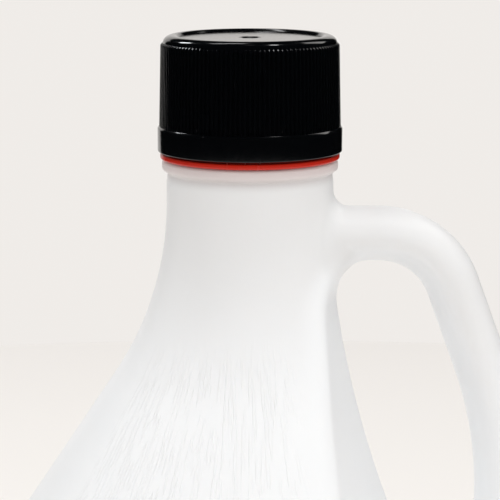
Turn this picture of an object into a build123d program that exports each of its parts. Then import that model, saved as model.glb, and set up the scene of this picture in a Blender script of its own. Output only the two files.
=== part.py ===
from build123d import *
from math import cos, pi, radians, sin, sqrt, tan
import os

# A blow-moulded chemical jug with a hollow grip, a ribbed screw cap, the foam wad that seals it
# and the ring that the cap leaves on the neck. The base stands on z = 0 and the grip points to +X.

# Jug body: a round wall under a cone that curves up into the neck
BODY_RADIUS = 83.0
WALL_HEIGHT = 141.5
SHOULDER_RADIUS = 30.0
CONE_ANGLE = 33.6
FLARE_RADIUS = 93.5
NECK_RADIUS = 24.0
NECK_LENGTH = 8.3
SHELL = 1.2

# Jug base: a flat standing ring around a hollow
HEEL_RADIUS = 8.0
STAND_WIDTH = 9.0
HOLLOW_DEPTH = 4.0
HOLLOW_RUN = 10.0

# Neck finish: bead, seat of the ring, retaining bead, thread and mouth
BEAD_RADIUS = 25.3
BEAD_HEIGHT = 3.7
BEAD_ROUND = 1.4
BORE_RADIUS = 18.6
FINISH_RADIUS = 21.2
FINISH_HEIGHT = 31.2
RETAINER_PROUD = 1.3
RETAINER_HEIGHT = 1.8
RETAINER_ROUND = 0.6
MOUTH_ROUND = 0.7

# Grip: an oval tube from the neck, over an arch and down into the shoulder
GRIP_THICKNESS = 15.5
GRIP_WIDTH = 24.0
GRIP_SETBACK = 1.15
GRIP_DROP = 18.25
ARCH_RADIUS = 22.95
ARCH_TURN = 70.0
GRIP_RUN = 24.0
GRIP_BEND = 117.0
ROOT_ROUND = 7.0

# Finger slot between the grip and the cone
SLOT_NECK_GAP = 1.2
SLOT_LEAN = 8.5
SLOT_BEND = 300.0
SLOT_CORNER = 11.0
SLOT_CORNER_STOP = 105.0
SLOT_FOOT = 10.8
SLOT_GRIP_LEDGE = 0.9
SLOT_FOOT_TURN = 50.0
SLOT_FOOT_RISE = 34.0
SLOT_DRAFT = 13.0

# Screw thread, right-handed
THREAD_PITCH = 5.0
THREAD_DEPTH = 1.3
THREAD_FOOT = 2.4
THREAD_CREST = 1.0
THREAD_SINK = 0.4
THREAD_PLAY = 0.5
THREAD_TOP = 5.0
NECK_TURNS = 2.0
CAP_TURNS = 1.5

# Cap: rim and recessed panel over a ribbed skirt, with a plain band at its foot
CAP_RIM_RADIUS = 24.85
CAP_RIM_HEIGHT = 2.5
CAP_RIM_ROUND = 1.9
CAP_PANEL = 1.8
CAP_PANEL_RADIUS = 20.0
CAP_RECESS = 1.0
CAP_RECESS_SLOPE = 0.7
CAP_GATE_RADIUS = 2.3
CAP_GATE_DEPTH = 0.5
CAP_NUB_RADIUS = 0.8
CAP_RIB_COUNT = 120
CAP_RIB_DEPTH = 0.65
CAP_RIB_DRAFT = 0.5
CAP_GROOVE_MOUTH = 0.9
CAP_GROOVE_FLOOR = 0.35
CAP_BAND_RADIUS = 26.5
CAP_BAND_HEIGHT = 6.9
CAP_BAND_BEVEL = 0.6
CAP_BAND_ROUND = 0.7
CAP_FOOT_GAP = 0.3

# Wad under the cap's panel, and the ring under its band
WAD_THICKNESS = 1.3
WAD_PLAY = 0.4
RING_RADIUS = 25.8
RING_FLANGE = 1.6
RING_WALL = 1.4
RING_HEIGHT = 5.2
RING_ROUND = 0.6
RING_PLAY = 0.4

# Heights up the jug
cone = radians(CONE_ANGLE)
shoulder_top = WALL_HEIGHT + SHOULDER_RADIUS * sin(cone)
shoulder_reach = BODY_RADIUS - SHOULDER_RADIUS * (1 - cos(cone))
flare_reach = NECK_RADIUS + FLARE_RADIUS * (1 - cos(cone))
flare_foot = shoulder_top + (shoulder_reach - flare_reach) / tan(cone)
flare_top = flare_foot + FLARE_RADIUS * sin(cone)
bead_foot = flare_top + NECK_LENGTH
bead_top = bead_foot + BEAD_HEIGHT
mouth = bead_top + FINISH_HEIGHT

# Centre line of the grip, as x and z: neck, arch, slanting run, bend, upright run
turn = radians(ARCH_TURN)
slant = pi / 2 - turn
grip_x = BODY_RADIUS - GRIP_SETBACK - GRIP_THICKNESS / 2
grip_z = bead_foot - GRIP_DROP
bend_x = grip_x - GRIP_BEND * (1 - cos(slant))
arch_end_x = bend_x - GRIP_RUN * sin(slant)
arch_x = arch_end_x - ARCH_RADIUS * sin(turn)
arch_end_z = grip_z - ARCH_RADIUS * (1 - cos(turn))
bend_z = arch_end_z - GRIP_RUN * cos(slant)
grip_foot_z = bend_z - GRIP_BEND * sin(slant)

# Finger slot: a round corner under the grip, a wall that leans out from the neck and a round foot
slot_lean = radians(SLOT_LEAN)
slot_x = NECK_RADIUS + SLOT_NECK_GAP
slot_roof = grip_z - GRIP_THICKNESS / 2
slot_top = slot_roof - SLOT_CORNER * (1 + sin(slot_lean))
corner_x = slot_x + SLOT_CORNER * cos(slot_lean)
corner_z = slot_top + SLOT_CORNER * sin(slot_lean)
wall_x = slot_x + SLOT_BEND * cos(slot_lean)
wall_z = slot_top + SLOT_BEND * sin(slot_lean)
slot_right = grip_x - GRIP_THICKNESS / 2 - SLOT_GRIP_LEDGE
foot_x = slot_right - SLOT_FOOT
foot_z = wall_z - sqrt((SLOT_BEND - SLOT_FOOT) ** 2 - (wall_x - foot_x) ** 2)
foot_lean = Vector(foot_x - wall_x, foot_z - wall_z).get_signed_angle(Vector(-1, 0))

# Thread: both helices start at +X, and the cap's ridge lies under the neck's
neck_thread = mouth - THREAD_TOP - NECK_TURNS * THREAD_PITCH
cap_thread = neck_thread - (THREAD_FOOT + THREAD_CREST) / 2 - THREAD_PLAY
cap_bore = FINISH_RADIUS + THREAD_DEPTH + THREAD_PLAY

# Ring and cap heights
ring_bore = FINISH_RADIUS + RING_PLAY
ring_collar = ring_bore + RING_WALL
ring_top = bead_top + RING_HEIGHT
retainer_foot = ring_top + RING_PLAY
cap_foot = bead_top + RING_FLANGE + CAP_FOOT_GAP
cap_seat = ring_collar + RING_PLAY
cap_seat_top = ring_top + RING_PLAY
cap_band_top = cap_foot + CAP_BAND_HEIGHT
cap_ledge = cap_band_top + CAP_BAND_BEVEL
cap_inside = mouth + WAD_THICKNESS
cap_panel = cap_inside + CAP_PANEL
cap_top = cap_panel + CAP_RECESS
cap_rib_top = cap_top - CAP_RIM_HEIGHT
cap_rib_foot_radius = CAP_RIM_RADIUS + CAP_RIB_DEPTH + CAP_RIB_DRAFT

# Half sections are drawn on the -X side, so that no seam runs through the grip
half_section = Plane((0, 0, 0), x_dir=(-1, 0, 0), z_dir=(0, 1, 0))


def body_outline(inset, top_radius):
    """Half section of the body with its skin moved in by inset, and a neck of top_radius."""
    stand_outer = BODY_RADIUS - HEEL_RADIUS
    stand_inner = stand_outer - STAND_WIDTH
    floor = Polyline(
        (0, HOLLOW_DEPTH + inset),
        (stand_inner - HOLLOW_RUN, HOLLOW_DEPTH + inset),
        (stand_inner, inset),
        (stand_outer, inset),
    )
    heel = CenterArc((stand_outer, HEEL_RADIUS), HEEL_RADIUS - inset, -90, 90)
    shoulder_centre = (BODY_RADIUS - SHOULDER_RADIUS, WALL_HEIGHT)
    shoulder = CenterArc(shoulder_centre, SHOULDER_RADIUS - inset, 0, CONE_ANGLE)
    flare_centre = (NECK_RADIUS + FLARE_RADIUS, flare_top)
    flare = CenterArc(flare_centre, FLARE_RADIUS + inset, 180, CONE_ANGLE)
    Line(heel @ 1, shoulder @ 0)
    Line(shoulder @ 1, flare @ 1)
    neck = flare @ 0
    step = neck.X - top_radius
    Polyline(
        neck,
        (neck.X, bead_top - step),
        (top_radius, bead_top),
        (top_radius, mouth),
        (0, mouth),
        floor @ 0,
    )


def grip_form(inset):
    """Oval tube of the grip from inside the neck to inside the body wall, moved in by inset."""
    with BuildPart() as grip:
        with BuildLine(Plane.XZ) as centre_line:
            Line((0, grip_z), (arch_x, grip_z))
            CenterArc((arch_x, grip_z - ARCH_RADIUS), ARCH_RADIUS, 90, -ARCH_TURN)
            Line((arch_end_x, arch_end_z), (bend_x, bend_z))
            bend_centre = (grip_x - GRIP_BEND, grip_foot_z)
            CenterArc(bend_centre, GRIP_BEND, 90 - ARCH_TURN, ARCH_TURN - 90)
            Line((grip_x, grip_foot_z), (grip_x, WALL_HEIGHT))
        with BuildSketch(Plane.YZ):
            with Locations((0, grip_z)):
                Ellipse(GRIP_WIDTH / 2 - inset, GRIP_THICKNESS / 2 - inset)
        sweep(path=centre_line.line)
    return grip.part


def slot_form(grow):
    """Finger slot with its walls moved out by grow: it opens to both sides and spares the grip."""
    with BuildPart() as slot:
        with BuildSketch(Plane.XZ):
            with BuildLine():
                corner_start = SLOT_CORNER_STOP
                corner_sweep = 180 + SLOT_LEAN - corner_start
                corner_reach = SLOT_CORNER + grow
                corner = CenterArc((corner_x, corner_z), corner_reach, corner_start, corner_sweep)
                foot_sweep = foot_lean - 180 + SLOT_FOOT_TURN
                foot = CenterArc((foot_x, foot_z), SLOT_FOOT + grow, -SLOT_FOOT_TURN, foot_sweep)
                RadiusArc(corner @ 1, foot @ 1, -(SLOT_BEND + grow))
                rise = PolarLine(foot @ 0, SLOT_FOOT_RISE, 90 - SLOT_FOOT_TURN)
                Polyline(rise @ 1, (arch_x, slot_top), corner @ 0)
            make_face()
        extrude(amount=BODY_RADIUS, both=True, taper=-SLOT_DRAFT)
        add(grip_form(grow - SLOT_GRIP_LEDGE), mode=Mode.SUBTRACT)
    return slot.part


def jug_form(inset, top_radius):
    """The jug's solid form with its skin moved in by inset: 0 for the outside, SHELL for the hollow."""
    with BuildPart() as form:
        with BuildSketch(half_section):
            with BuildLine():
                body_outline(inset, top_radius)
            make_face()
        revolve(axis=Axis.Z)
        add(grip_form(inset))
        root = form.edges(Select.LAST).filter_by(GeomType.BSPLINE)
        fillet(root.filter_by_position(Axis.X, 0, arch_x), ROOT_ROUND + inset)
        add(slot_form(inset), mode=Mode.SUBTRACT)
    return form.part


def thread_ridge(radius, foot_height, turns, side):
    """Helical ridge on a cylinder, standing out (side 1) or in (side -1) from its radius."""
    with BuildPart() as ridge:
        with BuildLine():
            helix = Helix(THREAD_PITCH, turns * THREAD_PITCH, radius, center=(0, 0, foot_height))
        with BuildSketch(Plane(helix @ 0, x_dir=(1, 0, 0), z_dir=helix % 0)):
            with BuildLine():
                Polyline(
                    (-side * THREAD_SINK, -THREAD_FOOT / 2),
                    (0, -THREAD_FOOT / 2),
                    (side * THREAD_DEPTH, -THREAD_CREST / 2),
                    (side * THREAD_DEPTH, THREAD_CREST / 2),
                    (0, THREAD_FOOT / 2),
                    (-side * THREAD_SINK, THREAD_FOOT / 2),
                    close=True,
                )
            make_face()
        sweep(path=helix, is_frenet=True)
    return ridge.part


def neck_ring(inner, outer, foot, height, rounding):
    """Half section of a ring around the neck with its outer corners rounded."""
    with Locations(((inner + outer) / 2, foot + height / 2)):
        Rectangle(outer - inner, height)
    fillet(vertices().group_by(Axis.X)[-1], rounding)


os.makedirs("parts", exist_ok=True)

# Jug: outside less hollow, with the beads and the thread on its neck
outside = jug_form(0, FINISH_RADIUS)
hollow = jug_form(SHELL, BORE_RADIUS)
neck_ridge = thread_ridge(FINISH_RADIUS, neck_thread, NECK_TURNS, 1)
with BuildPart() as jug:
    add(outside)
    with BuildSketch(half_section):
        neck_ring(BORE_RADIUS, BEAD_RADIUS, bead_foot, BEAD_HEIGHT, BEAD_ROUND)
    revolve(axis=Axis.Z)
    with BuildSketch(half_section):
        retainer_radius = FINISH_RADIUS + RETAINER_PROUD
        neck_ring(BORE_RADIUS, retainer_radius, retainer_foot, RETAINER_HEIGHT, RETAINER_ROUND)
    revolve(axis=Axis.Z)
    add(hollow, mode=Mode.SUBTRACT)
    fillet(jug.edges().filter_by(GeomType.CIRCLE).group_by(Axis.Z)[-1], MOUTH_ROUND)
    add(neck_ridge)
jug.part.label = "jug"
export_step(jug.part, "parts/jug.step")

# Ring that stays on the neck: a flange on the bead, and a collar up inside the cap's band
with BuildPart() as tamper_ring:
    with BuildSketch(half_section):
        neck_ring(ring_bore, RING_RADIUS, bead_top, RING_FLANGE, RING_ROUND)
    revolve(axis=Axis.Z)
    with BuildSketch(half_section):
        neck_ring(ring_bore, ring_collar, bead_top, RING_HEIGHT, RING_ROUND)
    revolve(axis=Axis.Z)
tamper_ring.part.label = "tamper_ring"
export_step(tamper_ring.part, "parts/tamper_ring.step")

# Wad: a foam disc between the mouth and the cap's panel
with BuildPart() as wad:
    with BuildSketch(Plane.XY.offset(mouth)):
        Circle(cap_bore - WAD_PLAY)
    extrude(amount=WAD_THICKNESS)
wad.part.label = "wad"
export_step(wad.part, "parts/wad.step")

# Groove between two ribs, along the skirt's draft
rib_foot = Vector(cap_rib_foot_radius, 0, cap_ledge)
rib_line = Vector(CAP_RIM_RADIUS + CAP_RIB_DEPTH, 0, cap_rib_top) - rib_foot
with BuildPart() as groove:
    with BuildSketch(Plane(rib_foot, x_dir=Vector(0, 1, 0).cross(rib_line), z_dir=rib_line)):
        with BuildLine():
            Polyline(
                (-CAP_RIB_DEPTH, -CAP_GROOVE_FLOOR / 2),
                (CAP_RIB_DEPTH, CAP_GROOVE_FLOOR / 2 - CAP_GROOVE_MOUTH),
                (CAP_RIB_DEPTH, CAP_GROOVE_MOUTH - CAP_GROOVE_FLOOR / 2),
                (-CAP_RIB_DEPTH, CAP_GROOVE_FLOOR / 2),
                close=True,
            )
        make_face()
    extrude(amount=rib_line.length)

# Cap: shell, ribs and thread
cap_ridge = thread_ridge(cap_bore, cap_thread, CAP_TURNS, -1)
with BuildPart() as cap:
    with BuildSketch(half_section):
        with BuildLine():
            rim_centre = (CAP_RIM_RADIUS - CAP_RIM_ROUND, cap_top - CAP_RIM_ROUND)
            rim = CenterArc(rim_centre, CAP_RIM_ROUND, 0, 90)
            band_centre = (CAP_BAND_RADIUS - CAP_BAND_ROUND, cap_foot + CAP_BAND_ROUND)
            band = CenterArc(band_centre, CAP_BAND_ROUND, -90, 90)
            Polyline(
                band @ 1,
                (CAP_BAND_RADIUS, cap_band_top),
                (cap_rib_foot_radius, cap_ledge),
                (CAP_RIM_RADIUS + CAP_RIB_DEPTH, cap_rib_top - CAP_RIB_DEPTH),
                (CAP_RIM_RADIUS, cap_rib_top),
                rim @ 0,
            )
            Polyline(
                rim @ 1,
                (CAP_PANEL_RADIUS + CAP_RECESS_SLOPE, cap_top),
                (CAP_PANEL_RADIUS, cap_panel),
                (CAP_GATE_RADIUS, cap_panel),
                (CAP_GATE_RADIUS - CAP_GATE_DEPTH, cap_panel - CAP_GATE_DEPTH),
                (CAP_NUB_RADIUS, cap_panel - CAP_GATE_DEPTH),
                (CAP_NUB_RADIUS, cap_panel),
                (0, cap_panel),
                (0, cap_inside),
                (cap_bore, cap_inside),
                (cap_bore, cap_seat_top),
                (cap_seat, cap_seat_top),
                (cap_seat, cap_foot),
                band @ 0,
            )
        make_face()
    revolve(axis=Axis.Z)
    with PolarLocations(0, CAP_RIB_COUNT):
        add(groove.part, mode=Mode.SUBTRACT)
    add(cap_ridge)
cap.part.label = "cap"
export_step(cap.part, "parts/cap.step")
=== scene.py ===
"""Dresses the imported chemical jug: bottle, neck ring, wad and screw cap, in a plain pale studio.

Lengths in the part classes are in millimetres, as on a moulding drawing. A mesh is turned to metres
when it is made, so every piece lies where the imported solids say.
"""

import logging
import math
from dataclasses import dataclass
from enum import Enum
from functools import cached_property
from typing import Callable, Optional, Sequence, Union

import bmesh
import bpy
import numpy as np
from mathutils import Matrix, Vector


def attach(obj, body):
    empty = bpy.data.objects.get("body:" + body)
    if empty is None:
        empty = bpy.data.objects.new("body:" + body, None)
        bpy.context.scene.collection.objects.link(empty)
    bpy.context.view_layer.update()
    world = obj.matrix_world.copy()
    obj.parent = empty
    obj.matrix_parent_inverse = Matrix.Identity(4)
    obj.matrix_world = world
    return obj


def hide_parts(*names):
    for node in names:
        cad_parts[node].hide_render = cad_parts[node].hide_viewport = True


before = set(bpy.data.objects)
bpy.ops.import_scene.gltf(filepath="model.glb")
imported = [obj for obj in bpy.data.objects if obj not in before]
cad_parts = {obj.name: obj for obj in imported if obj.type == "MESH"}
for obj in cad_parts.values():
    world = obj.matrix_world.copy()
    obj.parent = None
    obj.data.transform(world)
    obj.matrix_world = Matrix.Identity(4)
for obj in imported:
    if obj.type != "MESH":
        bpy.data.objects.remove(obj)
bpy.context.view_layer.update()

MM = 0.001
LOG = logging.getLogger("chemical_jug")

Array = np.ndarray
Colour = tuple[float, float, float]
Point = tuple[float, float, float]
Pair = tuple[float, float]
Socket = bpy.types.NodeSocket
Value = Union[float, Socket]
Paint = Union[Colour, Socket]


class Body(str, Enum):
    """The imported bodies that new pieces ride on."""

    JUG = "jug"
    CAP = "cap"


class Slot(str, Enum):
    """The record's material slots of the new pieces."""

    NATURAL = "natural_plastic"
    BLACK = "black_plastic"


def smooth_step(low: float, high: float, value: Array) -> Array:
    """Rises smoothly from 0 at low to 1 at high.

    Args:
        low: Value where the rise starts.
        high: Value where the rise ends.
        value: Values to map.

    Returns:
        The mapped values.
    """
    t = np.clip((value - low) / (high - low), 0.0, 1.0)
    return t * t * (3.0 - 2.0 * t)


def unit(vectors: Array) -> Array:
    """Vectors scaled to length 1."""
    return vectors / np.maximum(np.linalg.norm(vectors, axis=-1, keepdims=True), 1e-9)


@dataclass(frozen=True)
class Run:
    """A straight run of an outline.

    Attributes:
        start: First point.
        end: Last point.
    """

    start: Pair
    end: Pair

    def distance(self, u: Array, v: Array) -> Array:
        """Distance of the points (u, v) from the run."""
        du, dv = self.end[0] - self.start[0], self.end[1] - self.start[1]
        pu, pv = u - self.start[0], v - self.start[1]
        share = np.clip((pu * du + pv * dv) / (du * du + dv * dv), 0.0, 1.0)
        return np.hypot(pu - share * du, pv - share * dv)


@dataclass(frozen=True)
class Bend:
    """A round bend of an outline.

    Attributes:
        centre: Centre of the bend.
        radius: Radius of the bend.
        first: Lower end angle in degrees.
        last: Higher end angle in degrees.
    """

    centre: Pair
    radius: float
    first: float
    last: float

    def point(self, degrees: float) -> Pair:
        """The bend's point at an angle."""
        angle = math.radians(degrees)
        u = self.centre[0] + self.radius * math.cos(angle)
        return u, self.centre[1] + self.radius * math.sin(angle)

    def distance(self, u: Array, v: Array) -> Array:
        """Distance of the points (u, v) from the bend."""
        pu, pv = u - self.centre[0], v - self.centre[1]
        middle = math.radians((self.first + self.last) / 2)
        half = math.radians(abs(self.last - self.first) / 2)
        off = (np.arctan2(pv, pu) - middle + math.pi) % (2 * math.pi) - math.pi
        along = np.abs(np.hypot(pu, pv) - self.radius)
        ends = [self.point(self.first), self.point(self.last)]
        beyond = np.minimum.reduce([np.hypot(u - p[0], v - p[1]) for p in ends])
        return np.where(np.abs(off) <= half, along, beyond)


@dataclass(frozen=True)
class Outline:
    """Runs and bends that follow each other in one plane."""

    pieces: tuple[Union[Run, Bend], ...]

    def distance(self, u: Array, v: Array) -> Array:
        """Distance of the points (u, v) from the nearest piece."""
        return np.minimum.reduce([piece.distance(u, v) for piece in self.pieces])


def between(vectors: Array, first: Array, second: Array) -> Array:
    """Whether plane vectors point between two directions.

    Args:
        vectors: The vectors to test.
        first: One direction.
        second: The other direction, less than half a turn away.

    Returns:
        True for each vector that lies in the wedge.
    """
    cross = first[0] * second[1] - first[1] * second[0]
    along_first = (vectors[..., 0] * second[1] - vectors[..., 1] * second[0]) / cross
    along_second = (first[0] * vectors[..., 1] - first[1] * vectors[..., 0]) / cross
    return (along_first > 0) & (along_second > 0)


def meet_round(a: Array, b: Array, rounding: Array) -> Array:
    """What two forms share, with the edge between them rounded.

    Args:
        a: Signed distances of the first form.
        b: Signed distances of the second form.
        rounding: Radius of the edge.

    Returns:
        Signed distances of the shared form.
    """
    sharp = np.maximum(a, b)
    reach = np.hypot(np.maximum(rounding + a, 0.0), np.maximum(rounding + b, 0.0))
    return np.minimum(-rounding, sharp) + reach


def join_round(a: Array, b: Array, rounding: Array) -> Array:
    """Two forms as one, with the corner between them filled to a radius.

    Args:
        a: Signed distances of the first form.
        b: Signed distances of the second form.
        rounding: Radius of the corner.

    Returns:
        Signed distances of the joined form.
    """
    sharp = np.minimum(a, b)
    reach = np.hypot(np.maximum(rounding - a, 0.0), np.maximum(rounding - b, 0.0))
    return np.maximum(rounding, sharp) - reach


def rounded_path(corners: Sequence[Point], turn: float = 15.0) -> Array:
    """A path of straight runs with each corner rounded.

    Args:
        corners: Radius, height and rounding of each corner.
        turn: Largest turn between two points of a rounded corner, in degrees.

    Returns:
        Radius and height of each point, in order.
    """
    spots = np.array([c[:2] for c in corners], float)
    path = [spots[0]]
    for i in range(1, len(corners) - 1):
        back, ahead = spots[i - 1] - spots[i], spots[i + 1] - spots[i]
        room = min(np.linalg.norm(back), np.linalg.norm(ahead)) * 0.49
        back, ahead = unit(back), unit(ahead)
        half = math.acos(float(np.clip(back @ ahead, -1, 1))) / 2
        rounding = min(corners[i][2], room * math.tan(half))
        if rounding <= 0 or half > math.radians(89):
            path.append(spots[i])
            continue
        middle = unit(back + ahead)
        centre = spots[i] + middle * rounding / math.sin(half)
        sweep = math.pi / 2 - half
        side = np.array([-middle[1], middle[0]])
        side *= 1 if side @ back > 0 else -1
        count = max(2, math.ceil(2 * math.degrees(sweep) / turn))
        for angle in np.linspace(sweep, -sweep, count + 1):
            path.append(centre + rounding * (math.sin(angle) * side - math.cos(angle) * middle))
    path.append(spots[-1])
    return np.array(path)


def add_rows(path: Array, low: float, high: float, step: float) -> Array:
    """A path with extra points where it runs between two heights.

    Args:
        path: Radius and height of each point.
        low: Lower height of the stretch.
        high: Upper height of the stretch.
        step: Largest height between two points there.

    Returns:
        The path with its extra points.
    """
    rows = [path[0]]
    for before, after in zip(path, path[1:]):
        levels = sorted((before[1], after[1]))
        if levels[1] > low and levels[0] < high:
            count = max(1, math.ceil((levels[1] - levels[0]) / step))
            rows.extend(before + (after - before) * i / count for i in range(1, count))
        rows.append(after)
    return np.array(rows)


@dataclass(frozen=True)
class Thread:
    """A helical ridge on a round wall.

    Attributes:
        foot: Height of the ridge's middle where it starts, at +X.
        turns: Number of turns.
        side: 1 where the ridge stands out from the wall, -1 where it stands in.
        pitch: Rise in one turn.
        depth: Height of the ridge over its wall.
        base: Width of the ridge at the wall.
        crest: Width of the ridge at its top.
        fade: Share of a turn over which each end runs out.
        low: Height under which the wall stays plain.
        high: Height over which the wall stays plain.
    """

    foot: float
    turns: float
    side: int
    pitch: float = 5.0
    depth: float = 1.3
    base: float = 2.4
    crest: float = 1.0
    fade: float = 0.05
    low: float = -math.inf
    high: float = math.inf

    def relief(self, angle: Array, height: Array) -> Array:
        """How far the wall moves out at each angle and height.

        Args:
            angle: Angles round the axis, from 0 at +X.
            height: Heights, of the same shape.

        Returns:
            Radial offsets.
        """
        start = (angle % (2 * math.pi)) / (2 * math.pi)
        lift = (height - self.foot) / self.pitch - start
        turn = np.clip(np.round(lift), 0, math.ceil(self.turns) - 1)
        place = start + turn
        off = np.abs(lift - turn) * self.pitch
        ridge = np.clip((self.base / 2 - off) / ((self.base - self.crest) / 2), 0, 1)
        ends = np.minimum(place, self.turns - place) / self.fade
        proud = self.side * self.depth * ridge * np.clip(ends, 0, 1)
        return np.where((height > self.low) & (height < self.high), proud, 0.0)


class MeshDraft:
    """Points and faces of one piece, in millimetres, gathered ring by ring."""

    def __init__(self) -> None:
        """Starts with nothing drawn."""
        self.points = np.zeros((0, 3))
        self.faces: list[list[int]] = []

    def add(self, points: Array) -> Array:
        """Adds points.

        Args:
            points: Their places.

        Returns:
            Their numbers.
        """
        start = len(self.points)
        self.points = np.vstack([self.points, points])
        return np.arange(start, len(self.points))

    def ring(self, radius: Array, height: Array, angle: Array) -> Array:
        """Adds a closed ring round the axis and returns its points' numbers."""
        flat = np.stack([radius * np.cos(angle), radius * np.sin(angle), height], axis=-1)
        return self.add(flat)

    def strip(self, first: Array, second: Array) -> None:
        """Joins two closed rings of the same length by quads."""
        quads = np.stack([first, np.roll(first, -1), np.roll(second, -1), second], axis=-1)
        self.faces.extend(quads.tolist())

    def lathe(
        self,
        path: Array,
        angle: Array,
        relief: Optional[Callable[[Array, Array], Array]] = None,
    ) -> list[Array]:
        """Turns a path round the axis and skins it.

        Args:
            path: Radius and height of each row.
            angle: Angles of the points in a row.
            relief: Radial offset for angles and heights, or None.

        Returns:
            The numbers of each row's points.
        """
        rings = []
        for radius, height in path:
            levels = np.full_like(angle, height)
            offset = relief(angle, levels) if relief else 0.0
            rings.append(self.ring(radius + offset, levels, angle))
        for first, second in zip(rings, rings[1:]):
            self.strip(first, second)
        return rings

    def zip_rings(self, first: Array, second: Array) -> None:
        """Joins two closed rings of any lengths by triangles, matched by angle.

        Args:
            first: One ring's points.
            second: The other ring's points.
        """
        loops, turns = [], []
        for ring in (first, second):
            angle = np.arctan2(self.points[ring, 1], self.points[ring, 0])
            order = np.argsort(angle)
            loops.append(np.append(ring[order], ring[order[0]]))
            turns.append(np.append(angle[order], angle[order[0]] + 2 * math.pi))
        i = j = 0
        while i < len(first) or j < len(second):
            step_first = j >= len(second) or (
                i < len(first) and turns[0][i + 1] <= turns[1][j + 1]
            )
            tip = loops[0][i + 1] if step_first else loops[1][j + 1]
            self.faces.append([int(loops[0][i]), int(tip), int(loops[1][j])])
            i, j = (i + 1, j) if step_first else (i, j + 1)

    def close(self, ring: Array, height: float) -> None:
        """Closes a ring with a fan to the axis.

        Args:
            ring: The ring's points.
            height: Height of the fan's tip.
        """
        tip = int(self.add(np.array([[0.0, 0.0, height]]))[0])
        pairs = zip(ring.tolist(), np.roll(ring, -1).tolist())
        self.faces.extend([a, b, tip] for a, b in pairs)

    def build(self, name: str, crease: float = 180.0) -> bpy.types.Object:
        """Makes the piece in metres, with its faces turned outwards and shaded smooth.

        Args:
            name: The piece's name.
            crease: Edges that bend by more than this many degrees stay sharp.

        Returns:
            The new object.
        """
        mesh = bpy.data.meshes.new(name)
        mesh.from_pydata((self.points * MM).tolist(), [], self.faces)
        work = bmesh.new()
        work.from_mesh(mesh)
        bmesh.ops.recalc_face_normals(work, faces=work.faces)
        work.to_mesh(mesh)
        work.free()
        mesh.shade_smooth()
        if crease < 180.0:
            mesh.set_sharp_from_angle(angle=math.radians(crease))
        piece = bpy.data.objects.new(name, mesh)
        bpy.context.scene.collection.objects.link(piece)
        return piece


def even_angles(count: int) -> Array:
    """Evenly spaced angles of a full turn."""
    return np.arange(count) * 2 * math.pi / count


@dataclass(frozen=True)
class Net:
    """A skin drawn over a form given by signed distances.

    Attributes:
        points: The skin's points.
        quads: Its faces, as four point numbers each.
        rim: Numbers of the points round its open top.
    """

    points: Array
    quads: Array
    rim: Array


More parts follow.
